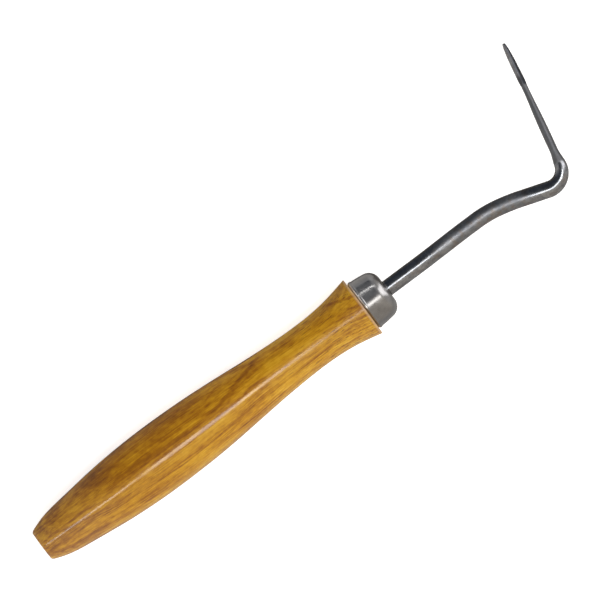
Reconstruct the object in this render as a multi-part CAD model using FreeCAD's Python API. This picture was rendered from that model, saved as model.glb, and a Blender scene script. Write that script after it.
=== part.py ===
import FreeCAD, Part
import math
import os

# A hooked scraper for cleaning the grooves of beehive frames: a turned wooden handle, a domed steel
# ferrule and one forged steel hook. Lengths are in millimetres and angles in degrees.
#
# Frame: the origin is the centre of the handle's flat butt. +X runs along the handle's axis towards
# the hook and +Z is up. The hook is bent in one plane that holds the X axis. That plane is rolled
# about X, so that the tip rests on the same bench as the handle's swell and its shoulder.

# Handle: radius at each station along its axis
butt_flat_radius = 5.5
butt_corner = (0.25, 6.05)
butt_edge = (1.1, 6.45)
swell = (52.0, 12.3)
waist = (116.5, 8.85)
shoulder_edge = (141.0, 11.65)
handle_outline = [
    butt_edge,
    (4.7, 7.7),
    (15.3, 9.6),
    (30.0, 11.25),
    swell,
    (78.8, 11.35),
    (100.0, 9.6),
    waist,
    (131.8, 9.8),
    shoulder_edge,
]
shoulder_x = 141.4
shoulder_round = 0.4

# Tenon: the handle's turned end inside the ferrule
tenon_radius = 8.5
tenon_chamfer_x = 147.0
tenon_end_x = 150.2
tenon_end_radius = 5.3

# Ferrule: a drawn cup with a raised rim, a barrel-shaped skirt and a domed nose, which the tang
# passes through
ferrule_end_x = 152.0
ferrule_wall = 0.9
rim_radius = 9.85
rim_round = 0.25
rim_chamfer_start_x = 142.25
skirt_start = (142.85, 9.6)
skirt_belly = (145.45, 9.51)
dome_round = 4.5
dome_centre_radius = 4.65
dome_start_angle = 8.8
inner_dome_start_x = 147.0
inner_dome_start_angle = 20.0
tang_clearance = 0.05

# Hook: the shank and the crank are round bar, and their end shoulder seats on the ferrule's nose.
# Behind it the tang is thinner, then tapers as a square.
rod_radius = 3.0
tang_radius = 2.5
tang_taper_x = 120.0
tang_point_x = 96.0
tang_root_side = 3.4
tang_point_side = 1.6
crank_vertex_x = 200.0
crank_angle = 18.65
crank_radius = 52.0
hook_vertex_x = 225.7
hook_vertex_u = -(hook_vertex_x - crank_vertex_x) * math.tan(math.radians(crank_angle))
hook_radius = 6.6
stem_angle = 78.05
leaf_angle = 79.5
tip_reach = 45.85
# The point of the leaf's edge that touches the bench: its distance from the axis and half width
contact_reach = 44.4
contact_half_width = 0.97

# Sizes of the drawn part of the hook, as (thickness in the hook's plane, width across it)
bend_end_size = (4.5, 6.7)
bend_thinning = 1.2
# Stem: (distance from the hook's vertex, thickness, width)
stem_stations = [
    (8.9, 4.1, 6.9),
    (11.6, 3.2, 7.0),
    (14.4, 3.0, 6.8),
    (20.5, 3.0, 6.1),
    (26.5, 2.8, 5.2),
    (31.0, 2.5, 4.4),
    (36.5, 2.2, 3.3),
    (38.7, 2.2, 3.1),
]
# Leaf: (distance from its neck, thickness, width)
leaf_stations = [
    (1.3, 2.45, 4.1),
    (3.2, 2.5, 4.4),
    (6.7, 2.4, 4.0),
    (10.9, 2.2, 3.2),
    (13.2, 1.95, 2.7),
    (15.6, 1.5, 1.9),
]
tip_size = (1.0, 1.1)
leaf_fullness = 1.35
leaf_section_points = 16
bend_sections = 8

# Roll of the hook's plane: the line under the swell and the shoulder, continued to the tip
bench_slope = (swell[1] - shoulder_edge[1]) / (shoulder_edge[0] - swell[0])
tip_x = hook_vertex_x + (tip_reach - hook_vertex_u) / math.tan(math.radians(stem_angle))
bench_depth_at_tip = swell[1] - bench_slope * (tip_x - swell[0])
roll = math.degrees(
    math.asin(bench_depth_at_tip / math.hypot(contact_reach, contact_half_width))
    - math.atan2(contact_half_width, contact_reach)
)

axis_x = FreeCAD.Vector(1, 0, 0)
origin = FreeCAD.Vector(0, 0, 0)
plane_side = FreeCAD.Vector(0, math.cos(math.radians(roll)), -math.sin(math.radians(roll)))
plane_normal = FreeCAD.Vector(0, math.sin(math.radians(roll)), math.cos(math.radians(roll)))


def profile_point(x, radius):
    """A point of a turned outline, drawn in the XZ plane."""
    return FreeCAD.Vector(x, 0, radius)


def line(start, end):
    """A straight edge of a turned outline between two (x, radius) points."""
    return Part.LineSegment(profile_point(*start), profile_point(*end)).toShape()


def arc(start, middle, end):
    """A round edge of a turned outline through three (x, radius) points."""
    return Part.Arc(profile_point(*start), profile_point(*middle), profile_point(*end)).toShape()


def corner(start, tip, end):
    """A rounded corner of a turned outline whose sides would meet at tip."""
    curve = Part.BezierCurve()
    curve.setPoles([profile_point(*start), profile_point(*tip), profile_point(*end)])
    return curve.toShape()


def smooth(points):
    """One smooth edge of a turned outline through (x, radius) points."""
    curve = Part.BSplineCurve()
    curve.interpolate([profile_point(*p) for p in points])
    return curve.toShape()


def turned(edges):
    """The solid turned about the X axis from a closed outline."""
    face = Part.Face(Part.Wire(edges))
    return face.revolve(origin, axis_x, 360)


def hook_point(x, u):
    """A point of the hook's plane, u to the tip's side of the handle's axis."""
    return axis_x * x + plane_side * u


def section_frame(x, u, heading):
    """The centre of a section and its two directions: in the hook's plane, and across it."""
    turn = math.radians(heading)
    across_path = axis_x * -math.sin(turn) + plane_side * math.cos(turn)
    return hook_point(x, u), across_path, plane_normal


def oval(frame, thickness, width):
    """An elliptical section, at least as wide as it is thick."""
    centre, across_path, normal = frame
    curve = Part.Ellipse(centre, width / 2, thickness / 2)
    curve.Axis = normal.cross(across_path)
    curve.XAxis = normal
    return Part.Wire(curve.toShape())


def leaf_section(frame, thickness, width):
    """A section with two bevels on each side of its ridge, softened."""
    centre, across_path, normal = frame
    power = 2 / leaf_fullness
    points = []
    for step in range(leaf_section_points):
        angle = 2 * math.pi * step / leaf_section_points
        c = math.cos(angle)
        s = math.sin(angle)
        wide = math.copysign(abs(c) ** power, c) * width / 2
        thin = math.copysign(abs(s) ** power, s) * thickness / 2
        points.append(centre + normal * wide + across_path * thin)
    curve = Part.BSplineCurve()
    curve.interpolate(points, PeriodicFlag=True)
    return Part.Wire(curve.toShape())


def along(x, u, heading, distance):
    """The point at a distance from (x, u) in the hook's plane, along a heading."""
    turn = math.radians(heading)
    return x + distance * math.cos(turn), u + distance * math.sin(turn)


def bend_tangent():
    """The distance from the hook's vertex to either end of its bend."""
    return hook_radius * math.tan(math.radians(stem_angle + crank_angle) / 2)


def make_rod():
    """The round bar: the shank, the crank and the run to the bend."""
    setback = crank_radius * math.tan(math.radians(crank_angle) / 2)
    half_turn = math.radians(crank_angle) / 2
    arc_start = (crank_vertex_x - setback, 0)
    arc_middle = (
        arc_start[0] + crank_radius * math.sin(half_turn),
        -crank_radius * (1 - math.cos(half_turn)),
    )
    arc_end = along(crank_vertex_x, 0, -crank_angle, setback)
    bend_start = along(hook_vertex_x, hook_vertex_u, 180 - crank_angle, bend_tangent())
    path = Part.Wire(
        [
            Part.LineSegment(hook_point(ferrule_end_x, 0), hook_point(*arc_start)).toShape(),
            Part.Arc(hook_point(*arc_start), hook_point(*arc_middle), hook_point(*arc_end)).toShape(),
            Part.LineSegment(hook_point(*arc_end), hook_point(*bend_start)).toShape(),
        ]
    )
    bar = Part.Wire(Part.Circle(hook_point(ferrule_end_x, 0), axis_x, rod_radius).toShape())
    return path.makePipeShell([bar], True, True)


def make_tang():
    """The tang: a round part, then a square taper that stops the hook from turning."""
    round_part = Part.makeCylinder(
        tang_radius, ferrule_end_x - tang_taper_x, hook_point(tang_taper_x, 0), axis_x
    )
    ends = []
    for x, side in ((tang_taper_x, tang_root_side), (tang_point_x, tang_point_side)):
        half = side / 2
        corners = [(1, 1), (-1, 1), (-1, -1), (1, -1)]
        points = [FreeCAD.Vector(x, y * half, z * half) for y, z in corners]
        ends.append(Part.makePolygon(points + points[:1]))
    return round_part.fuse(Part.makeLoft(ends, True, True))


def make_bend_and_stem():
    """The hook's bend, which thins in its plane and widens across it, and the flattened stem."""
    first = along(hook_vertex_x, hook_vertex_u, 180 - crank_angle, bend_tangent())
    total_turn = stem_angle + crank_angle
    sections = []
    for step in range(bend_sections + 1):
        share = step / bend_sections
        heading = -crank_angle + share * total_turn
        turn = math.radians(heading)
        start = math.radians(-crank_angle)
        x = first[0] + hook_radius * (math.sin(turn) - math.sin(start))
        u = first[1] - hook_radius * (math.cos(turn) - math.cos(start))
        thickness = 2 * rod_radius + (bend_end_size[0] - 2 * rod_radius) * share**bend_thinning
        width = 2 * rod_radius + (bend_end_size[1] - 2 * rod_radius) * share**bend_thinning
        sections.append(oval(section_frame(x, u, heading), thickness, width))
    for distance, thickness, width in stem_stations:
        x, u = along(hook_vertex_x, hook_vertex_u, stem_angle, distance)
        sections.append(oval(section_frame(x, u, stem_angle), thickness, width))
    return Part.makeLoft(sections, True, False)


def make_leaf():
    """The leaf-shaped tip: quick shoulders at its neck, then a long taper to a blunt point."""
    neck_distance, neck_thickness, neck_width = stem_stations[-1]
    neck = along(hook_vertex_x, hook_vertex_u, stem_angle, neck_distance)
    sections = [oval(section_frame(*neck, stem_angle), neck_thickness, neck_width)]
    for distance, thickness, width in leaf_stations:
        x, u = along(*neck, leaf_angle, distance)
        sections.append(leaf_section(section_frame(x, u, leaf_angle), thickness, width))
    length = (tip_reach - neck[1]) / math.sin(math.radians(leaf_angle))
    end = along(*neck, leaf_angle, length)
    sections.append(leaf_section(section_frame(*end, leaf_angle), *tip_size))
    return Part.makeLoft(sections, True, False)


def make_hook():
    """The hook: one forging from the tang's point to the leaf's tip."""
    return make_rod().fuse([make_tang(), make_bend_and_stem(), make_leaf()])


def make_handle(hook):
    """The turned handle, with its tenon and with the tang's hole cut to the tang."""
    round_start = (shoulder_x, shoulder_edge[1] - shoulder_round)
    edges = [
        line((0, 0), (0, butt_flat_radius)),
        corner((0, butt_flat_radius), butt_corner, butt_edge),
        smooth(handle_outline),
        corner(shoulder_edge, (shoulder_x, shoulder_edge[1]), round_start),
        line(round_start, (shoulder_x, tenon_radius)),
        line((shoulder_x, tenon_radius), (tenon_chamfer_x, tenon_radius)),
        line((tenon_chamfer_x, tenon_radius), (tenon_end_x, tenon_end_radius)),
        line((tenon_end_x, tenon_end_radius), (tenon_end_x, 0)),
        line((tenon_end_x, 0), (0, 0)),
    ]
    return turned(edges).cut(hook)


def dome_point(radius, degrees_from_side):
    """A point of an arc about the dome corner's centre, from the side (0) to the nose (90)."""
    angle = math.radians(degrees_from_side)
    centre_x = ferrule_end_x - dome_round
    return centre_x + radius * math.sin(angle), dome_centre_radius + radius * math.cos(angle)


def dome_arc(radius, first, last):
    """A round edge of the dome between two angles from its side."""
    middle = (first + last) / 2
    return arc(dome_point(radius, first), dome_point(radius, middle), dome_point(radius, last))


def make_ferrule():
    """The ferrule: chamfered rim, barrel-shaped skirt, domed nose and the tang's hole."""
    inner_round = dome_round - ferrule_wall
    hole_radius = tang_radius + tang_clearance
    inner_face_x = ferrule_end_x - ferrule_wall
    inner_dome_start = dome_point(inner_round, inner_dome_start_angle)
    rim_round_start = (shoulder_x, rim_radius - rim_round)
    rim_round_end = (shoulder_x + rim_round, rim_radius)
    edges = [
        line((shoulder_x, tenon_radius), rim_round_start),
        corner(rim_round_start, (shoulder_x, rim_radius), rim_round_end),
        line(rim_round_end, (rim_chamfer_start_x, rim_radius)),
        line((rim_chamfer_start_x, rim_radius), skirt_start),
        corner(skirt_start, skirt_belly, dome_point(dome_round, dome_start_angle)),
        dome_arc(dome_round, dome_start_angle, 90),
        line((ferrule_end_x, dome_centre_radius), (ferrule_end_x, hole_radius)),
        line((ferrule_end_x, hole_radius), (inner_face_x, hole_radius)),
        line((inner_face_x, hole_radius), (inner_face_x, dome_centre_radius)),
        dome_arc(inner_round, 90, inner_dome_start_angle),
        line(inner_dome_start, (inner_dome_start_x, tenon_radius)),
        line((inner_dome_start_x, tenon_radius), (shoulder_x, tenon_radius)),
    ]
    return turned(edges)


os.makedirs("parts", exist_ok=True)
hook_shape = make_hook()
hook_shape.exportStep("parts/hook.step")
make_handle(hook_shape).exportStep("parts/handle.step")
make_ferrule().exportStep("parts/ferrule.step")
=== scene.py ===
import math

import bpy
import numpy as np
from mathutils import Matrix, Vector, noise


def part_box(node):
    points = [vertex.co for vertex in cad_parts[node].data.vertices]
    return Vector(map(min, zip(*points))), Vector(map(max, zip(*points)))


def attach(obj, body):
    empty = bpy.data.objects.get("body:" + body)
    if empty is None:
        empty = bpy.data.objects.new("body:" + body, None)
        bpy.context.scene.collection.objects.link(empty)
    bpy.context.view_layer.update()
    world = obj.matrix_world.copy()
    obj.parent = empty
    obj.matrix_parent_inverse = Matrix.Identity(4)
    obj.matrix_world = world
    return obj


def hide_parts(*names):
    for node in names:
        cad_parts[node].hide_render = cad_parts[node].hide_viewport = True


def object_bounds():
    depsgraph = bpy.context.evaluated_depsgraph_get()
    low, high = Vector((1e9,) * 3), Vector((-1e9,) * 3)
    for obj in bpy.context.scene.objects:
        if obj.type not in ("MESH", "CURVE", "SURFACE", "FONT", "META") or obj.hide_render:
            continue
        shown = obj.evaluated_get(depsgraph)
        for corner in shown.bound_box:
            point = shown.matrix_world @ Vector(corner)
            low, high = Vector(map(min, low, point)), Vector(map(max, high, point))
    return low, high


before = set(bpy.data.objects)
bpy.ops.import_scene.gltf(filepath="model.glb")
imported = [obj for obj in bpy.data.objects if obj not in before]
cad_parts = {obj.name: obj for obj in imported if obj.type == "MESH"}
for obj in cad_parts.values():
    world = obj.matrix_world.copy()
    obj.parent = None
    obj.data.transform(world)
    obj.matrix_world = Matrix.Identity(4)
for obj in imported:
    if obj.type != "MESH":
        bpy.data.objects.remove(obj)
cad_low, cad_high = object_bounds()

# A hive tool: turned and lacquered wooden handle, spun steel ferrule, forged steel hook.
# Everything is in metres in the CAD's frame: +X along the handle's axis towards the hook, +Z up.
MM = 0.001

handle_low, handle_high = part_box("handle")
ferrule_low, ferrule_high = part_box("ferrule")
hook_low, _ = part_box("hook")

# Driving dimensions of the handle and of the tang in it, in millimetres. They are the CAD's, but for
# the taper of the handle's hidden bore.
SWELL_X = 52.0
SWELL_RADIUS = handle_high.z / MM
BUTT_X = handle_low.x / MM
BUTT_FLAT_RADIUS = 5.5
BUTT_CORNER = (0.25, 6.05)
HANDLE_OUTLINE = [
    (1.1, 6.45),
    (4.7, 7.7),
    (15.3, 9.6),
    (30.0, 11.25),
    (SWELL_X, SWELL_RADIUS),
    (78.8, 11.35),
    (100.0, 9.6),
    (116.5, 8.85),
    (131.8, 9.8),
    (141.0, 11.65),
]
SHOULDER_X = ferrule_low.x / MM
SHOULDER_ROUND = 0.4
TENON_RADIUS = 8.5
TENON_CHAMFER_X = 147.0
TENON_END_X = handle_high.x / MM
TENON_END_RADIUS = 5.3
TANG_RADIUS = 2.5
TANG_TAPER_X = 120.0
TANG_TAPER_SIDE = 3.4
TANG_POINT_X = hook_low.x / MM
TANG_POINT_SIDE = 1.6
BORE_POINT_RADIUS = 1.25

# Driving dimensions of the ferrule, in millimetres and degrees. They are the CAD's, but for the bead
# with a groove behind it in place of a chamfered rim, the gap on the tenon and the hole's rounding.
FERRULE_END_X = ferrule_high.x / MM
WALL = 0.9
TENON_GAP = 0.02
TANG_GAP = 0.05
HOLE_ROUND = 0.15
GROOVE_RADIUS = 9.5
RIM_RADIUS = 9.85
BEAD_START_X = 141.65
BEAD_END_X = 143.05
SKIRT_START = (143.1, 9.6)
SKIRT_BELLY = (145.45, 9.51)
DOME_ROUND = 4.5
DOME_CENTRE = (FERRULE_END_X - DOME_ROUND, 4.65)
DOME_START_ANGLE = 8.8
DOME_END_ANGLE = 90.0
INNER_DOME_START_ANGLE = 20.0
INNER_DOME_START_X = 147.0

# Driving dimensions of the hook, in millimetres and degrees. They are the CAD's.
ROD_RADIUS = 3.0
CRANK_VERTEX_X = 200.0
CRANK_ANGLE = 18.65
CRANK_RADIUS = 52.0
HOOK_VERTEX_X = 225.7
HOOK_VERTEX_U = -(HOOK_VERTEX_X - CRANK_VERTEX_X) * math.tan(math.radians(CRANK_ANGLE))
HOOK_RADIUS = 6.6
STEM_ANGLE = 78.05
LEAF_ANGLE = 79.5
NECK = 38.7
TIP_REACH = 45.85
ROLL = math.radians(13.019)
# Sizes of the drawn part, as (thickness in the hook's plane, width across it). The rows of the stem
# start with the distance from the hook's vertex, and those of the leaf with the distance from the neck.
BEND_END = (4.5, 6.7)
STEM_SIZES = [
    (8.9, 4.1, 6.9),
    (11.6, 3.2, 7.0),
    (14.4, 3.0, 6.8),
    (20.5, 3.0, 6.1),
    (26.5, 2.8, 5.2),
    (31.0, 2.5, 4.4),
    (36.5, 2.2, 3.3),
    (38.7, 2.2, 3.1),
]
LEAF_SIZES = [
    (0.0, 2.2, 3.1),
    (1.3, 2.45, 4.1),
    (3.2, 2.5, 4.4),
    (6.7, 2.4, 4.0),
    (10.9, 2.2, 3.2),
    (13.2, 1.95, 2.7),
    (15.6, 1.5, 1.9),
]
TIP_SIZE = (1.0, 1.1)
LEAF_LEAST_SIZE = (0.35, 0.5)
LEAF_BLEND = 1.6

# How a section is rounded off: towards a square, as an ellipse, or towards a diamond
SQUARE = 0.3
ROUND = 1.0
DIAMOND = 1.6

# Relief that the CAD leaves out, in millimetres
SANDED_DEPTH = 0.05
SANDED_WAVE = 0.040
SANDED_RIPPLE = 0.008
DENT_DEPTH = 0.02
FORGED_RELIEF = 0.02
SHANK_BOW = 0.32
SHANK_BOW_RISE_X = (166.0, 188.0)
SHANK_BOW_FALL_X = (193.0, 206.0)

# Fineness of the meshes: points round each piece, and rings along their longer stretches
HANDLE_AROUND = 192
FERRULE_AROUND = 160
HOOK_AROUND = 72
HANDLE_STEPS = 280
BEAD_STEPS = 14
SKIRT_STEPS = 18
DOME_STEPS = 26
TANG_TAPER_STEPS = 11
TANG_ROUND_STEPS = 7
SHANK_STEPS = 76
CRANK_STEPS = 34
RUN_STEPS = 24
BEND_STEPS = 44
STEM_STEPS = 78
LEAF_STEPS = 70

PLANE_SIDE = Vector((0, math.cos(ROLL), -math.sin(ROLL)))
PLANE_NORMAL = Vector((0, math.sin(ROLL), math.cos(ROLL)))


# ---------------------------------------------------------------- shapes


def cubic_through(points):
    """The natural cubic spline through (x, y) points, as a function of x."""
    x = np.array([p[0] for p in points], float)
    y = np.array([p[1] for p in points], float)
    h = np.diff(x)
    n = len(x)
    matrix = np.eye(n)
    right = np.zeros(n)
    for i in range(1, n - 1):
        matrix[i, i - 1] = h[i - 1]
        matrix[i, i] = 2 * (h[i - 1] + h[i])
        matrix[i, i + 1] = h[i]
        right[i] = 6 * ((y[i + 1] - y[i]) / h[i] - (y[i] - y[i - 1]) / h[i - 1])
    second = np.linalg.solve(matrix, right)

    def at(value):
        i = int(np.clip(np.searchsorted(x, value) - 1, 0, n - 2))
        a = (x[i + 1] - value) / h[i]
        b = (value - x[i]) / h[i]
        bend = ((a**3 - a) * second[i] + (b**3 - b) * second[i + 1]) * h[i] ** 2 / 6
        return float(a * y[i] + b * y[i + 1] + bend)

    return at


def rounded(start, tip, end, steps=6):
    """Points of a rounded corner whose sides would meet at tip."""
    points = []
    for i in range(steps + 1):
        t = i / steps
        k = ((1 - t) ** 2, 2 * t * (1 - t), t * t)
        points.append(tuple(k[0] * start[j] + k[1] * tip[j] + k[2] * end[j] for j in (0, 1)))
    return points


def between(start, end, steps):
    """Points from start up to, but without, end."""
    return [
        tuple(start[j] + (end[j] - start[j]) * i / steps for j in (0, 1)) for i in range(steps)
    ]


def mesh_object(name, vertices, faces, node):
    """A smooth-shaded piece in metres that stands for a CAD node."""
    mesh = bpy.data.meshes.new(name)
    mesh.from_pydata([tuple(v) for v in vertices], [], faces)
    mesh.polygons.foreach_set("use_smooth", [True] * len(mesh.polygons))
    mesh.update()
    piece = bpy.data.objects.new(name, mesh)
    bpy.context.scene.collection.objects.link(piece)
    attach(piece, "root")
    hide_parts(node)
    return piece


def turned_piece(name, outline, around, node, relief, closed):
    """A piece turned about the X axis. outline is (x, radius) in millimetres. An open outline starts
    and ends on the axis; a closed one is a loop. relief(x, radius, angle) moves the surface outwards."""
    vertices = []
    rings = []
    for x, radius in outline:
        if radius < 1e-6:
            rings.append([len(vertices)])
            vertices.append(Vector((x * MM, 0, 0)))
            continue
        ring = []
        for k in range(around):
            angle = 2 * math.pi * k / around
            r = (radius + relief(x, radius, angle)) * MM
            ring.append(len(vertices))
            vertices.append(Vector((x * MM, r * math.cos(angle), r * math.sin(angle))))
        rings.append(ring)
    faces = []
    pairs = list(zip(rings, rings[1:]))
    if closed:
        pairs.append((rings[-1], rings[0]))
    for first, second in pairs:
        for k in range(around):
            after = (k + 1) % around
            if len(first) == 1:
                faces.append((first[0], second[after], second[k]))
            elif len(second) == 1:
                faces.append((first[k], first[after], second[0]))
            else:
                faces.append((first[k], first[after], second[after], second[k]))
    return mesh_object(name, vertices, faces, node)


# ---------------------------------------------------------------- the handle


def handle_outline():
    """The whole outline of the handle, from the butt over the swell and the tenon into the bore."""
    radius_at = cubic_through(HANDLE_OUTLINE)
    first_x, first_radius = HANDLE_OUTLINE[0]
    last_x, last_radius = HANDLE_OUTLINE[-1]
    outline = between((BUTT_X, 0), (BUTT_X, BUTT_FLAT_RADIUS), 10)
    outline += rounded((BUTT_X, BUTT_FLAT_RADIUS), BUTT_CORNER, (first_x, first_radius))
    for i in range(1, HANDLE_STEPS):
        x = first_x + (last_x - first_x) * i / HANDLE_STEPS
        outline.append((x, radius_at(x)))
    face_start = (SHOULDER_X, last_radius - SHOULDER_ROUND)
    outline += rounded((last_x, last_radius), (SHOULDER_X, last_radius), face_start)
    outline += between(face_start, (SHOULDER_X, TENON_RADIUS), 6)[1:]
    outline += between((SHOULDER_X, TENON_RADIUS), (TENON_CHAMFER_X, TENON_RADIUS), 6)
    outline += between((TENON_CHAMFER_X, TENON_RADIUS), (TENON_END_X, TENON_END_RADIUS), 4)
    outline += between((TENON_END_X, TENON_END_RADIUS), (TENON_END_X, TANG_RADIUS), 3)
    outline += between((TENON_END_X, TANG_RADIUS), (TANG_TAPER_X, TANG_RADIUS), 8)
    outline += between((TANG_TAPER_X, TANG_RADIUS), (TANG_POINT_X, BORE_POINT_RADIUS), 8)
    outline += [(TANG_POINT_X, BORE_POINT_RADIUS), (TANG_POINT_X, 0)]
    return outline


def handle_relief(x, radius, angle):
    """Hand-sanded waviness of the turned surface, a few hundredths of a millimetre."""
    if x >= SHOULDER_X - 0.5 or radius < BUTT_FLAT_RADIUS:
        return 0.0
    c, s = math.cos(angle), math.sin(angle)
    wave = noise.noise(Vector((x / 13.0, c * 1.2, s * 1.2)))
    ripple = noise.noise(Vector((x / 5.0, c * 2.5 + 7.0, s * 2.5)))
    return -SANDED_DEPTH + SANDED_WAVE * wave + SANDED_RIPPLE * ripple


def make_handle():
    outline = handle_outline()
    return turned_piece(
        "handle_wood", outline, HANDLE_AROUND, "handle", handle_relief, False
    )


# ---------------------------------------------------------------- the ferrule


def dome_points(radius, first, last, steps):
    """Points of an arc about the dome corner's centre, by angle from its side towards the nose."""
    angles = [math.radians(first + (last - first) * i / steps) for i in range(steps + 1)]
    return [
        (DOME_CENTRE[0] + radius * math.sin(a), DOME_CENTRE[1] + radius * math.cos(a)) for a in angles
    ]


def bead_points():
    """The rolled rim: a half-round bead between the groove by the wood and the start of the skirt."""
    points = []
    for i in range(BEAD_STEPS + 1):
        share = i / BEAD_STEPS
        x = BEAD_START_X + (BEAD_END_X - BEAD_START_X) * share
        foot = GROOVE_RADIUS + (SKIRT_START[1] - GROOVE_RADIUS) * share
        rise = math.sin(math.pi * share) ** 0.9
        points.append((x, foot + (RIM_RADIUS - foot) * rise))
    return points


def ferrule_outline():
    """The closed outline of the ferrule's cup: groove, bead, barrelled skirt, dome, hole, inside."""
    inside = TENON_RADIUS + TENON_GAP
    hole = TANG_RADIUS + TANG_GAP
    hole_top = (FERRULE_END_X, hole + HOLE_ROUND)
    dome = dome_points(DOME_ROUND, DOME_START_ANGLE, DOME_END_ANGLE, DOME_STEPS)
    outline = between((SHOULDER_X, inside), (SHOULDER_X, GROOVE_RADIUS), 3)
    outline += bead_points()
    outline += rounded(SKIRT_START, SKIRT_BELLY, dome[0], SKIRT_STEPS)
    outline += dome[1:]
    outline += between((FERRULE_END_X, DOME_CENTRE[1]), hole_top, 3)[1:]
    outline += rounded(hole_top, (FERRULE_END_X, hole), (FERRULE_END_X - HOLE_ROUND, hole), 3)
    outline += [(FERRULE_END_X - WALL, hole)]
    outline += dome_points(DOME_ROUND - WALL, DOME_END_ANGLE, INNER_DOME_START_ANGLE, 12)
    outline += [(INNER_DOME_START_X, inside)]
    outline += between((INNER_DOME_START_X, inside), (SHOULDER_X, inside), 4)[1:]
    return outline


def ferrule_relief(x, radius, angle):
    """Slight flats and dents that a spun cup picks up when it is pressed on. The bore has none."""
    if radius < (GROOVE_RADIUS + TENON_RADIUS) / 2 and x < INNER_DOME_START_X:
        return 0.0
    c, s = math.cos(angle), math.sin(angle)
    return -DENT_DEPTH + DENT_DEPTH * noise.noise(Vector((x / 5.0, c * 1.6, s * 1.6)))


def make_ferrule():
    outline = ferrule_outline()
    return turned_piece(
        "ferrule_cup", outline, FERRULE_AROUND, "ferrule", ferrule_relief, True
    )


# ---------------------------------------------------------------- the hook


def along(point, heading, distance):
    """The (x, u) point at a distance from another in the hook's plane, along a heading in degrees."""
    turn = math.radians(heading)
    return point[0] + distance * math.cos(turn), point[1] + distance * math.sin(turn)


def heading_way(heading):
    """The direction of a heading in the hook's plane."""
    x, u = along((0, 0), heading, 1.0)
    return Vector((x, 0, 0)) + PLANE_SIDE * u


def blend(start, end, share):
    return start + (end - start) * share


def soft_step(value, low, high):
    t = min(max((value - low) / (high - low), 0.0), 1.0)
    return t * t * (3 - 2 * t)


def shank_bow(x):
    """The slight sideways bow that bending the crank leaves in the shank, in millimetres."""
    return SHANK_BOW * soft_step(x, *SHANK_BOW_RISE_X) * (1 - soft_step(x, *SHANK_BOW_FALL_X))


def hook_path():
    """The hook's centreline from the ferrule's nose to the tip, as (x, u, heading, stage, place) rows.
    stage is rod, bend, stem or leaf. place is the turned share of the bend, the distance from the
    hook's vertex along the stem, or the distance from the neck along the leaf, in millimetres."""
    rows = []
    setback = CRANK_RADIUS * math.tan(math.radians(CRANK_ANGLE) / 2)
    crank_start_x = CRANK_VERTEX_X - setback
    for i in range(SHANK_STEPS):
        x = blend(FERRULE_END_X, crank_start_x, i / SHANK_STEPS)
        rows.append((x, shank_bow(x), 0.0, "rod", 0.0))
    for i in range(CRANK_STEPS):
        turn = math.radians(CRANK_ANGLE * i / CRANK_STEPS)
        x = crank_start_x + CRANK_RADIUS * math.sin(turn)
        u = shank_bow(x) - CRANK_RADIUS * (1 - math.cos(turn))
        rows.append((x, u, -math.degrees(turn), "rod", 0.0))

    tangent = HOOK_RADIUS * math.tan(math.radians(STEM_ANGLE + CRANK_ANGLE) / 2)
    crank_end = along((CRANK_VERTEX_X, 0.0), -CRANK_ANGLE, setback)
    vertex = (HOOK_VERTEX_X, HOOK_VERTEX_U)
    bend_start = along(vertex, 180 - CRANK_ANGLE, tangent)
    run = math.dist(crank_end, bend_start)
    for i in range(RUN_STEPS):
        point = along(crank_end, -CRANK_ANGLE, run * i / RUN_STEPS)
        rows.append((*point, -CRANK_ANGLE, "rod", 0.0))
    start = math.radians(-CRANK_ANGLE)
    for i in range(BEND_STEPS):
        share = i / BEND_STEPS
        heading = blend(-CRANK_ANGLE, STEM_ANGLE, share)
        turn = math.radians(heading)
        x = bend_start[0] + HOOK_RADIUS * (math.sin(turn) - math.sin(start))
        u = bend_start[1] - HOOK_RADIUS * (math.cos(turn) - math.cos(start))
        rows.append((x, u, heading, "bend", share))

    for i in range(STEM_STEPS):
        distance = blend(tangent, NECK, i / STEM_STEPS)
        rows.append((*along(vertex, STEM_ANGLE, distance), STEM_ANGLE, "stem", distance))
    neck = along(vertex, STEM_ANGLE, NECK)
    leaf_length = (TIP_REACH - neck[1]) / math.sin(math.radians(LEAF_ANGLE))
    for i in range(LEAF_STEPS + 1):
        # The rings lie closer together towards the tip
        distance = leaf_length * (1 - (1 - i / LEAF_STEPS) ** 1.35)
        rows.append((*along(neck, LEAF_ANGLE, distance), LEAF_ANGLE, "leaf", distance))
    return rows, tangent, leaf_length


def section_point(thickness, width, power, angle):
    """A point of a section whose power is SQUARE, ROUND, DIAMOND or between them."""
    c, s = math.cos(angle), math.sin(angle)
    return (
        math.copysign(abs(s) ** power, s) * thickness / 2,
        math.copysign(abs(c) ** power, c) * width / 2,
    )


def size_along(sizes, column):
    """The thickness (column 1) or width (column 2) of (distance, thickness, width) rows."""
    return cubic_through([(row[0], row[column]) for row in sizes])


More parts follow.
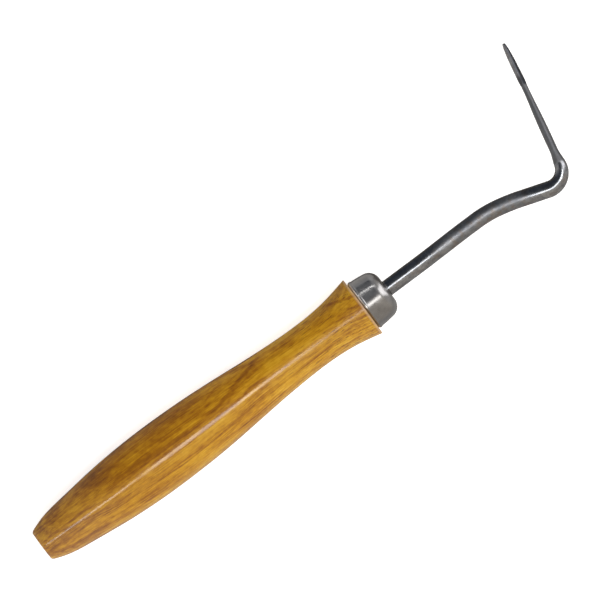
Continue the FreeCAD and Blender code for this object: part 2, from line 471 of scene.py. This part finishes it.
def make_hook():
    """One forging, ring by ring: square tang, round shank and crank, bend, drawn stem, bevelled leaf."""
    rows, tangent, leaf_length = hook_path()
    stem_sizes = [(tangent, *BEND_END)] + STEM_SIZES
    leaf_sizes = LEAF_SIZES + [(leaf_length, *TIP_SIZE)]
    stem_thickness, stem_width = size_along(stem_sizes, 1), size_along(stem_sizes, 2)
    leaf_thickness, leaf_width = size_along(leaf_sizes, 1), size_along(leaf_sizes, 2)
    vertices = []
    rings = []

    def add_ring(x, u, heading, thickness, width, power=ROUND, relief=0.0):
        turn = math.radians(heading)
        across = Vector((-math.sin(turn), 0, 0)) + PLANE_SIDE * math.cos(turn)
        centre = Vector((x, 0, 0)) + PLANE_SIDE * u
        ring = []
        for k in range(HOOK_AROUND):
            angle = 2 * math.pi * k / HOOK_AROUND
            thin, wide = section_point(thickness, width, power, angle)
            offset = across * thin + PLANE_NORMAL * wide
            if relief:
                place = centre + offset
                marks = noise.noise(place / 4.0) * 0.3 + noise.noise(place / 9.0)
                offset *= 1 + relief * (marks - 0.6) / max(offset.length, 0.3)
            ring.append(len(vertices))
            vertices.append((centre + offset) * MM)
        rings.append(ring)

    for i in range(TANG_TAPER_STEPS + 1):
        share = i / TANG_TAPER_STEPS
        side = blend(TANG_POINT_SIDE, TANG_TAPER_SIDE, share)
        add_ring(blend(TANG_POINT_X, TANG_TAPER_X, share), 0, 0, side, side, SQUARE)
    for i in range(TANG_ROUND_STEPS + 1):
        x = blend(TANG_TAPER_X, FERRULE_END_X, i / TANG_ROUND_STEPS)
        add_ring(x, 0, 0, 2 * TANG_RADIUS, 2 * TANG_RADIUS)
    for x, u, heading, stage, place in rows:
        power, relief = ROUND, FORGED_RELIEF
        if stage == "rod":
            thickness = width = 2 * ROD_RADIUS
        elif stage == "bend":
            grow = place**1.2
            thickness, width = (blend(2 * ROD_RADIUS, size, grow) for size in BEND_END)
        elif stage == "stem":
            thickness, width = stem_thickness(place), stem_width(place)
        else:
            thickness = max(leaf_thickness(place), LEAF_LEAST_SIZE[0])
            width = max(leaf_width(place), LEAF_LEAST_SIZE[1])
            power = blend(ROUND, DIAMOND, min(1.0, place / LEAF_BLEND))
            relief = 0.0
        add_ring(x, u, heading, thickness, width, power, relief)
    faces = []
    for first, second in zip(rings, rings[1:]):
        for k in range(HOOK_AROUND):
            after = (k + 1) % HOOK_AROUND
            faces.append((first[k], first[after], second[after], second[k]))
    faces.append(tuple(reversed(rings[0])))
    faces.append(tuple(rings[-1]))
    return mesh_object("hook_forging", vertices, faces, "hook")


# ---------------------------------------------------------------- materials

# The direction from the log's pith lies this far from straight up, towards +Y
RING_TURN = math.radians(42)
# Where a place lies along the stem, from the hook's vertex, and across the stem and the leaf
HOOK_VERTEX = Vector((HOOK_VERTEX_X, 0, 0)) + PLANE_SIDE * HOOK_VERTEX_U
STEM_WAY = heading_way(STEM_ANGLE)
STEM_START = STEM_WAY.dot(HOOK_VERTEX)
STEM_SIDE = heading_way(STEM_ANGLE - 90)
STEM_AXIS = STEM_SIDE.dot(HOOK_VERTEX)
LEAF_SIDE = heading_way(LEAF_ANGLE - 90)
LEAF_RIDGE = LEAF_SIDE.dot(HOOK_VERTEX + STEM_WAY * NECK)

WOOD_COLORS = [
    (0.05, (0.20, 0.065, 0.004)),
    (0.28, (0.38, 0.148, 0.004)),
    (0.50, (0.57, 0.275, 0.008)),
    (0.68, (0.68, 0.374, 0.020)),
    (0.92, (0.80, 0.500, 0.055)),
]
WOOD_TAN = (0.50, 0.34, 0.22)
WOOD_PORE = (0.16, 0.052, 0.005)
# Partly worn bare wood, partly a painted highlight on the shoulder's edge
WOOD_WORN_AND_HIGHLIGHT = (0.62, 0.43, 0.27)
CUP_COLORS = [(0.3, (0.31, 0.30, 0.295)), (0.7, (0.40, 0.39, 0.38))]
CUP_SCRATCH = (0.52, 0.51, 0.50)
STEEL_COLORS = [
    (0.37, (0.19, 0.20, 0.22)),
    (0.50, (0.32, 0.326, 0.338)),
    (0.62, (0.45, 0.45, 0.45)),
]
STEEL_RUST = (0.26, 0.18, 0.12)
STEEL_WORKED = (0.24, 0.235, 0.235)
STEEL_DRAWN = (0.185, 0.185, 0.19)
# Painted shade for the stem's outer side
STEEL_OUTER_SHADE = (0.06, 0.06, 0.065)
# Dark scale round the leaf's shoulder, and on its outer bevel partly scale, partly painted shade
STEEL_SCALE_AND_SHADE = (0.035, 0.038, 0.046)
PAPER_COLORS = [(0.3, (0.76, 0.76, 0.76)), (0.7, (0.80, 0.80, 0.80))]


class Nodes:
    """A short way to write the nodes of a material or of the world."""

    def __init__(self, tree, coordinates):
        self.tree = tree
        self.tree.nodes.clear()
        self.place = self.new("TexCoord").outputs[coordinates]

    def new(self, kind):
        return self.tree.nodes.new("ShaderNode" + kind)

    def link(self, value, socket):
        if isinstance(value, bpy.types.NodeSocket):
            self.tree.links.new(value, socket)
        else:
            socket.default_value = value

    def stretched(self, scale, offset=(0, 0, 0)):
        """The object's place in millimetres, times one scale or a scale for each axis."""
        scales = scale if isinstance(scale, tuple) else (scale,) * 3
        node = self.new("Mapping")
        node.inputs["Scale"].default_value = [s / MM for s in scales]
        node.inputs["Location"].default_value = offset
        self.link(self.place, node.inputs["Vector"])
        return node.outputs[0]

    def noise(self, vector, detail=4.0, rough=0.5):
        node = self.new("TexNoise")
        self.link(vector, node.inputs["Vector"])
        node.inputs["Scale"].default_value = 1.0
        node.inputs["Detail"].default_value = detail
        node.inputs["Roughness"].default_value = rough
        return node.outputs["Fac"]

    def pattern(self, scale, offset=(0, 0, 0), detail=4.0, rough=0.5):
        """Noise over the stretched place."""
        return self.noise(self.stretched(scale, offset), detail, rough)

    def math(self, operation, a, b=0.0, c=0.0):
        node = self.new("Math")
        node.operation = operation
        for value, socket in zip((a, b, c), node.inputs):
            self.link(value, socket)
        return node.outputs[0]

    def times(self, first, *others):
        """The product of two or more values."""
        for other in others:
            first = self.math("MULTIPLY", first, other)
        return first

    def plus(self, base, value, amount=1.0):
        """base plus an amount of value."""
        return self.math("MULTIPLY_ADD", value, amount, base)

    def minus(self, a, b):
        return self.math("SUBTRACT", a, b)

    def gap(self, a, b):
        """How far two values are apart."""
        return self.math("ABSOLUTE", self.minus(a, b))

    def dot(self, a, b):
        node = self.new("VectorMath")
        node.operation = "DOT_PRODUCT"
        self.link(a, node.inputs[0])
        self.link(b, node.inputs[1])
        return node.outputs["Value"]

    def join(self, *values):
        node = self.new("CombineXYZ")
        for value, socket in zip(values, node.inputs):
            self.link(value, socket)
        return node.outputs[0]

    def split(self, vector):
        node = self.new("SeparateXYZ")
        self.link(vector, node.inputs[0])
        return node.outputs

    def remap(self, value, low, high, out_low=0.0, out_high=1.0):
        """A smooth step from one value to another; low may be above high."""
        node = self.new("MapRange")
        node.interpolation_type = "SMOOTHSTEP"
        self.link(value, node.inputs["Value"])
        node.inputs["From Min"].default_value = low
        node.inputs["From Max"].default_value = high
        node.inputs["To Min"].default_value = out_low
        node.inputs["To Max"].default_value = out_high
        return node.outputs["Result"]

    def ramp(self, value, stops):
        node = self.new("ValToRGB")
        self.link(value, node.inputs[0])
        elements = node.color_ramp.elements
        while len(elements) < len(stops):
            elements.new(0.5)
        for element, (position, color) in zip(elements, stops):
            element.position = position
            element.color = (*color, 1)
        return node.outputs[0]

    def mix(self, factor, a, b):
        node = self.new("Mix")
        node.data_type = "RGBA"
        self.link(factor, node.inputs["Factor"])
        sockets = [s for s in node.inputs if s.type == "RGBA"]
        for value, socket in zip((a, b), sockets):
            self.link(value if isinstance(value, bpy.types.NodeSocket) else (*value, 1), socket)
        return [s for s in node.outputs if s.type == "RGBA"][0]

    def bump(self, height, strength, distance):
        node = self.new("Bump")
        node.inputs["Strength"].default_value = strength
        node.inputs["Distance"].default_value = distance
        self.link(height, node.inputs["Height"])
        return node.outputs[0]


class Material(Nodes):
    """A new material with one Principled shader, and its nodes."""

    def __init__(self, name):
        self.material = bpy.data.materials.new(name)
        self.material.use_nodes = True
        super().__init__(self.material.node_tree, "Object")
        self.shader = self.new("BsdfPrincipled")
        self.link(self.shader.outputs[0], self.new("OutputMaterial").inputs[0])

    def set(self, **inputs):
        for name, value in inputs.items():
            self.link(value, self.shader.inputs[name.replace("_", " ")])


def wood_material():
    """Golden brown hardwood under clear lacquer. The pattern is solid, as in a real log: growth rings
    with their pith far to the lower side, so that the upper +Y face shows broad figure and the -Y side
    shows thin straight lines. Fibres and pores run along X. Below, depth goes outwards through the
    rings and sideways along them, in millimetres, and tone goes from dark to light."""
    n = Material("lacquered_wood")
    place = n.stretched(1.0)
    x, y, _ = n.split(place)
    outward = n.dot(place, (0.012, math.sin(RING_TURN), math.cos(RING_TURN)))
    sideways = n.dot(place, (0.0, math.cos(RING_TURN), -math.sin(RING_TURN)))
    drift = n.pattern((0.014, 0.05, 0.05), detail=3.0)
    depth = n.plus(outward, n.minus(drift, 0.5), 6.0)
    depth = n.plus(depth, n.times(sideways, sideways), 0.008)

    def in_rings(*scales):
        """The place by x, depth and sideways, each times its own scale."""
        return n.join(*(n.times(value, scale) for value, scale in zip((x, depth, sideways), scales)))

    # The figure of the wood: rings, fibre and clouds
    bands = n.noise(in_rings(0.006, 0.24, 0.0), detail=2.0)
    lines = n.noise(in_rings(0.007, 0.80, 0.07), detail=5.0, rough=0.68)
    fibre = n.pattern((0.035, 1.8, 1.8), rough=0.65)
    mottle = n.pattern((0.35, 0.60, 0.60), detail=3.0, rough=0.6)
    clouds = n.pattern((0.040, 0.14, 0.14), (3.0, 1.0, 5.0), detail=3.0)
    tone = n.math("ADD", n.times(bands, 0.55), -1.04)
    for figure, amount in ((lines, 0.85), (fibre, 0.70), (mottle, 0.48), (clouds, 0.60)):
        tone = n.plus(tone, figure, amount)

    # Painted shade on the upper +Y face: darker outer rings, deeper on the swell, and a darker +Y flank;
    # the butt is darker too
    swell_painted_shade = n.times(
        n.remap(x, 44.0, 54.0), n.remap(x, 92.0, 100.0, 1.0, 0.0), n.remap(depth, 10.6, 11.6, 1.0, 0.1)
    )
    tone = n.plus(tone, n.remap(depth, 9.7, 11.6), -0.20)
    tone = n.plus(tone, n.times(n.remap(depth, 8.2, 9.4), swell_painted_shade), -0.10)
    tone = n.plus(tone, n.remap(sideways, 3.5, 9.0), -0.12)
    tone = n.plus(tone, n.remap(x, 10.0, 112.0, -0.12, 0.01))

    # Painted shade on the butt's +Y side, and a lighter tone on the waist's +Y side
    butt_painted_shade = n.times(n.remap(y, 3.0, 7.5), n.remap(x, 48.0, 24.0))
    tone = n.plus(tone, butt_painted_shade, -0.14)
    waist_upper_lighter = n.times(
        n.remap(x, 97.0, 106.0), n.remap(x, 118.0, 130.0, 1.0, 0.75), n.remap(y, 1.0, 5.0)
    )
    tone = n.plus(tone, waist_upper_lighter, 0.15)

    # A ring that shows as a V between swell and waist, and one that runs out in the flare
    wandering_y = n.plus(y, n.minus(fibre, 0.5), 1.6)
    rise = n.plus(2.0, n.gap(x, 77.5), 0.25)
    vee = n.times(
        n.remap(n.gap(wandering_y, rise), 0.2, 1.1, 1.0, 0.0),
        n.remap(x, 66.0, 72.0),
        n.remap(x, 97.0, 103.0, 1.0, 0.0),
    )
    fall = n.plus(8.0, n.minus(x, 131.5), -0.33)
    flare_line = n.times(
        n.remap(n.gap(wandering_y, fall), 0.25, 0.8, 1.0, 0.0), n.remap(x, 129.0, 132.0)
    )
    tone = n.plus(tone, n.math("MAXIMUM", vee, flare_line), -0.20)

    # Thin dark lines on the -Y side and round the butt
    thin = n.noise(in_rings(0.016, 1.15, 0.10), detail=1.0)
    side_lines = n.times(n.remap(thin, 0.56, 0.64), n.remap(y, -1.0, -3.0))
    straight = n.pattern((0.03, 1.1, 0.05), detail=2.0)
    butt_lines = n.times(n.remap(straight, 0.54, 0.62), n.remap(x, 30.0, 14.0))
    tone = n.plus(tone, n.math("MAXIMUM", side_lines, butt_lines), -0.17)

    # A smoky streak of late wood from the swell to the waist
    patchy = n.pattern((0.035, 0.2, 0.2), (9.0, 4.0, 1.0), detail=2.0)
    smoke = n.times(
        n.remap(depth, 8.4, 9.5),
        n.remap(depth, 9.5, 10.0, 1.0, 0.0),
        n.remap(patchy, 0.36, 0.58),
        n.remap(x, 50.0, 75.0),
        n.remap(x, 96.0, 106.0, 1.0, 0.15),
    )
    tone = n.plus(tone, smoke, -0.26)

    color = n.ramp(tone, WOOD_COLORS)
    color = n.mix(n.remap(x, 40.0, 16.0, 0.0, 0.10), color, WOOD_TAN)
    dashes = n.pattern((0.20, 3.2, 3.2), (11.0, 3.0, 8.0), detail=2.0)
    open_grain = n.times(n.remap(dashes, 0.57, 0.65), n.remap(lines, 0.60, 0.44))
    coarse = n.remap(x, 100.0, 120.0, 0.35, 1.0)
    color = n.mix(n.times(open_grain, coarse), color, WOOD_PORE)
    # A light band on the shoulder's edge: partly worn bare wood, partly a painted highlight
    worn_edge_and_highlight = n.remap(x, SHOULDER_X - 1.1, SHOULDER_X - 0.4)
    color = n.mix(n.times(worn_edge_and_highlight, 0.55), color, WOOD_WORN_AND_HIGHLIGHT)
    height = n.plus(n.times(open_grain, -1.0), fibre, 0.4)
    sheen = n.pattern((0.12, 0.4, 0.4), detail=2.0)
    n.set(
        Base_Color=color,
        Roughness=n.remap(fibre, 0.3, 0.7, 0.62, 0.5),
        Specular_IOR_Level=0.06,
        Normal=n.bump(height, 0.3, 0.00006),
        Coat_Weight=1.0,
        Coat_Roughness=n.plus(
            n.remap(sheen, 0.35, 0.68, 0.09, 0.165), n.remap(x, 88.0, 120.0, 0.0, 0.09)
        ),
        Coat_IOR=1.56,
    )
    return n.material


def ferrule_material():
    """Spun steel with a satin finish: fine lines round the axis, soft clouds and a few scratches."""
    n = Material("satin_steel")
    lines = n.pattern((7.0, 0.12, 0.12), detail=3.0, rough=0.6)
    clouds = n.pattern(0.3)
    scratch = n.pattern((1.2, 5.0, 0.5), (4.0, 2.0, 7.0), detail=2.0)
    color = n.ramp(clouds, CUP_COLORS)
    color = n.mix(n.times(n.remap(scratch, 0.62, 0.74), 0.35), color, CUP_SCRATCH)
    n.set(
        Base_Color=color,
        Metallic=1.0,
        Roughness=n.remap(n.plus(clouds, lines, 0.4), 0.45, 0.9, 0.17, 0.26),
        Normal=n.bump(lines, 0.12, 0.00001),
    )
    return n.material


def hook_material():
    """Forged and belt-polished steel: smooth and dark by the ferrule, duller, mottled and faintly brown
    further out. The stem's outer side is darkened as painted shade; the leaf keeps dark scale round its
    shoulder, and its outer bevel is dark partly as scale, partly as painted shade."""
    n = Material("forged_steel")
    place = n.stretched(1.0)
    x = n.split(place)[0]
    clouds = n.pattern(0.22, detail=5.0, rough=0.6)
    speckle = n.pattern(1.1, rough=0.65)
    stain = n.pattern(0.35, (5.0, 9.0, 2.0), rough=0.6)

    # Where the steel was worked: the crank, the drawn stem and the leaf. The stem's outer side is
    # darkened as painted shade, and the leaf's outer bevel partly as dark scale, partly as painted shade
    worked = n.times(n.remap(x, 166.0, 180.0), n.remap(x, 205.0, 216.0, 1.0, 0.0))
    reach = n.minus(n.dot(place, STEM_WAY), STEM_START)
    past_bend = n.remap(reach, 7.0, 8.2)
    outwards = n.minus(n.dot(place, STEM_SIDE), STEM_AXIS)
    outer_stem_painted_shade = n.times(n.remap(outwards, 0.0, 0.6), past_bend)
    drawn = n.times(past_bend, n.remap(reach, NECK + 2.0, NECK + 5.0, 1.0, 0.15))
    on_leaf = n.remap(reach, NECK - 0.5, NECK + 0.5)
    outer_bevel = n.remap(n.minus(n.dot(place, LEAF_SIDE), LEAF_RIDGE), -0.15, 0.15)
    shoulder = n.times(on_leaf, n.remap(reach, NECK + 3.0, NECK + 5.5, 0.6, 0.0))
    scale = n.math("MAXIMUM", n.times(outer_bevel, on_leaf), shoulder)

    color = n.ramp(n.plus(n.times(speckle, 0.4), clouds, 0.6), STEEL_COLORS)
    rusty = n.plus(0.25, worked, 0.3)
    color = n.mix(n.times(n.remap(stain, 0.48, 0.64), rusty), color, STEEL_RUST)
    color = n.mix(n.times(worked, 0.35), color, STEEL_WORKED)
    color = n.mix(n.times(drawn, 0.78), color, STEEL_DRAWN)
    # Painted shade on the stem's outer side
    color = n.mix(n.times(outer_stem_painted_shade, 0.5), color, STEEL_OUTER_SHADE)
    # Dark scale round the leaf's shoulder; on its outer bevel partly scale, partly painted shade
    color = n.mix(n.times(scale, 0.90), color, STEEL_SCALE_AND_SHADE)
    rough = n.plus(0.17, worked, 0.25)
    rough = n.plus(rough, drawn, 0.34)
    rough = n.plus(rough, speckle, 0.08)
    n.set(
        Base_Color=color,
        Metallic=1.0,
        Roughness=rough,
        Normal=n.bump(n.times(worked, n.plus(clouds, speckle)), 0.12, 0.00004),
    )
    return n.material


def floor_material():
    """Plain pale studio paper."""
    n = Material("studio_paper")
    n.set(
        Base_Color=n.ramp(n.pattern(0.04, detail=2.0), PAPER_COLORS),
        Roughness=0.9,
        Emission_Color=(1, 1, 1, 1),
        Emission_Strength=0.70,
    )
    return n.material


# ---------------------------------------------------------------- studio

# The camera and the floor, in metres. The camera's aim is relative to the middle of the CAD's box.
CAMERA_HEIGHT = 6.0
CAMERA_AIM = (0.00629, -0.00114)
CAMERA_TURN = math.radians(-36.74)
FRAME_WIDTH = 0.2118
FLOOR_HALF = 3.0
FLOOR_CENTRE_X = 0.12
FLOOR_STEPS = 8

WHITE = (1.0, 1.0, 1.0)
NEUTRAL = (1.0, 0.99, 0.98)
WARM = (1.0, 0.95, 0.86)
COOL = (0.93, 0.96, 1.0)

# The room's light by direction, from the -Y side (0) to the +Y side (1), and what changes it
ROOM_COLORS = [
    (0.0, (0.50, 0.465, 0.42)),
    (0.30, (0.60, 0.56, 0.51)),
    (0.44, (0.42, 0.41, 0.39)),
    (0.56, (0.30, 0.30, 0.31)),
    (1.0, (0.26, 0.27, 0.29)),
]
ROOM_ENDS = (0.55, 0.54, 0.53)
ROOM_GLOOM = (0.055, 0.065, 0.082)
ROOM_WINDOW = (2.6, 2.6, 2.65)
BENCH_NEAR = (0.42, 0.41, 0.40)
BENCH_FAR = (0.13, 0.12, 0.11)
BENCH_BUTT = (0.52, 0.51, 0.50)
BACKDROP = (0.95, 0.95, 0.95, 1)


def make_camera():
    """Straight down on the tool, turned so that its handle runs from lower left to upper right."""
    centre = (cad_low + cad_high) / 2
    data = bpy.data.cameras.new("camera")
    data.sensor_width = 36.0
    data.lens = data.sensor_width * CAMERA_HEIGHT / FRAME_WIDTH
    data.clip_start = 0.05
    data.clip_end = 20
    camera = bpy.data.objects.new("camera", data)
    bpy.context.scene.collection.objects.link(camera)
    camera.location = (centre.x + CAMERA_AIM[0], centre.y + CAMERA_AIM[1], CAMERA_HEIGHT)
    camera.rotation_euler = (0, 0, CAMERA_TURN)
    bpy.context.scene.camera = camera


def make_floor():
    """The bench that the swell, the shoulder and the tip rest on: it rises a little towards the hook."""
    slope = (SWELL_RADIUS - HANDLE_OUTLINE[-1][1]) / (HANDLE_OUTLINE[-1][0] - SWELL_X)
    mesh = bpy.data.meshes.new("floor")
    vertices = []
    for j in range(FLOOR_STEPS + 1):
        for i in range(FLOOR_STEPS + 1):
            x = FLOOR_CENTRE_X + FLOOR_HALF * (2 * i / FLOOR_STEPS - 1)
            y = FLOOR_HALF * (2 * j / FLOOR_STEPS - 1)
            vertices.append((x, y, -SWELL_RADIUS * MM + slope * (x - SWELL_X * MM)))
    faces = []
    for j in range(FLOOR_STEPS):
        for i in range(FLOOR_STEPS):
            a = j * (FLOOR_STEPS + 1) + i
            b = a + FLOOR_STEPS + 1
            faces.append((a, a + 1, b + 1, b))
    mesh.from_pydata(vertices, [], faces)
    floor = bpy.data.objects.new("floor", mesh)
    bpy.context.scene.collection.objects.link(floor)
    floor.data.materials.append(floor_material())
    floor.visible_glossy = False
    return floor


def leaning(x, degrees):
    """A direction that leans from straight up towards +Y by some degrees, and by x towards +X."""
    lean = math.radians(degrees)
    return (x, math.sin(lean), math.cos(lean))


def soft_box(name, direction, distance, size, radiance, tint=WHITE, only_on=None, glossy=True):
    """A soft box seen from the tool in a direction, with its long side along X: size is its length and
    width. With only_on, it lights and is shaded by those pieces alone."""
    data = bpy.data.lights.new(name, "AREA")
    data.shape = "RECTANGLE"
    data.size, data.size_y = size
    data.energy = radiance * math.pi * size[0] * size[1]
    data.color = tint
    light = bpy.data.objects.new(name, data)
    bpy.context.scene.collection.objects.link(light)
    light.visible_glossy = glossy
    back = Vector(direction).normalized()
    along_x = Vector((1, 0, 0))
    side = (along_x - back * along_x.dot(back)).normalized()
    up = back.cross(side)
    place = Vector(((cad_low.x + cad_high.x) / 2, 0, 0)) + back * distance
    light.matrix_world = Matrix.Translation(place) @ Matrix((side, up, back)).transposed().to_4x4()
    if only_on:
        lit = bpy.data.collections.new(name + "_lit")
        for piece in only_on:
            lit.objects.link(piece)
        light.light_linking.receiver_collection = lit
        light.light_linking.blocker_collection = lit


def make_lights(handle, ferrule, hook, floor):
    """Long strips nearly overhead, wider or brighter at the hook's end: a warm pair for the wood and the
    floor, one for the ferrule and a cool pair for the hook. A wide fill lights everything. The ferrule
    also has a strip and three glows, from the +Y side, the butt's end and the bench."""
    wood, cup, steel = [handle, floor], [ferrule], [hook]
    soft_box("key_strip", leaning(0.26, -10.8), 1.7, (1.3, 0.31), 6.4, WARM, wood)
    soft_box("key_tail", leaning(-0.52, -10.8), 1.85, (1.3, 0.17), 5.6, WARM, wood)
    soft_box("ferrule_strip", leaning(-0.10, -9.6), 1.7, (2.5, 0.30), 3.9, NEUTRAL, cup)
    soft_box("hook_strip", leaning(-0.10, -4.2), 1.7, (2.5, 0.36), 4.3, COOL, steel)
    soft_box("hook_end", leaning(0.50, -8.0), 1.75, (0.75, 0.36), 5.6, COOL, steel)
    soft_box("fill", (-0.1, -0.75, 0.65), 1.8, (1.8, 1.4), 0.60, glossy=False)
    soft_box("side_strip", leaning(0.30, 50.5), 1.6, (1.5, 0.15), 2.9, only_on=cup)
    soft_box("side_glow", leaning(0.0, 117.0), 1.6, (3.0, 1.75), 0.38, only_on=cup)
    soft_box("rim_glow", (-0.60, 0.58, 0.42), 1.6, (1.2, 2.2), 0.95, only_on=cup)
    soft_box("upper_glow", leaning(0.0, 48.0), 1.6, (3.0, 2.0), 0.14, only_on=cup)


def make_world():
    """Soft room light: warm and bright on the -Y side, dark and cool on the +Y side, and pale below,
    where the bench throws light back. A window stands past the hook. The camera sees a pale backdrop."""
    world = bpy.data.worlds.new("room")
    bpy.context.scene.world = world
    world.use_nodes = True
    n = Nodes(world.node_tree, "Generated")
    x, y, z = n.split(n.place)
    sky = n.ramp(n.plus(0.5, y, 0.5), ROOM_COLORS)
    away = n.math("ABSOLUTE", x)
    sky = n.mix(n.remap(away, 0.55, 0.9), sky, ROOM_ENDS)
    gloom = n.remap(n.dot(n.place, (0.0, 0.906, 0.423)), 0.30, 0.82)
    sky = n.mix(n.times(gloom, n.remap(away, 0.30, 0.55, 1.0, 0.0)), sky, ROOM_GLOOM)
    ground = n.mix(n.remap(y, -0.2, 0.3), BENCH_NEAR, BENCH_FAR)
    ground = n.mix(n.remap(x, -0.3, -0.6), ground, BENCH_BUTT)
    sky = n.mix(n.remap(z, -0.08, -0.5), sky, ground)
    window = n.times(
        n.remap(x, 0.62, 0.78),
        n.remap(n.gap(y, 0.07), 0.22, 0.36, 1.0, 0.0),
        n.remap(z, -0.35, -0.15),
    )
    sky = n.mix(window, sky, ROOM_WINDOW)

    room = n.new("Background")
    n.link(sky, room.inputs["Color"])
    pale = n.new("Background")
    pale.inputs["Color"].default_value = BACKDROP
    chosen = n.new("MixShader")
    n.link(n.new("LightPath").outputs["Is Camera Ray"], chosen.inputs[0])
    n.link(room.outputs[0], chosen.inputs[1])
    n.link(pale.outputs[0], chosen.inputs[2])
    n.link(chosen.outputs[0], n.new("OutputWorld").inputs[0])


handle = make_handle()
handle.data.materials.append(wood_material())
ferrule = make_ferrule()
ferrule.data.materials.append(ferrule_material())
hook = make_hook()
hook.data.materials.append(hook_material())

bpy.context.scene.view_settings.view_transform = "Standard"
make_camera()
floor = make_floor()
make_lights(handle, ferrule, hook, floor)
make_world()
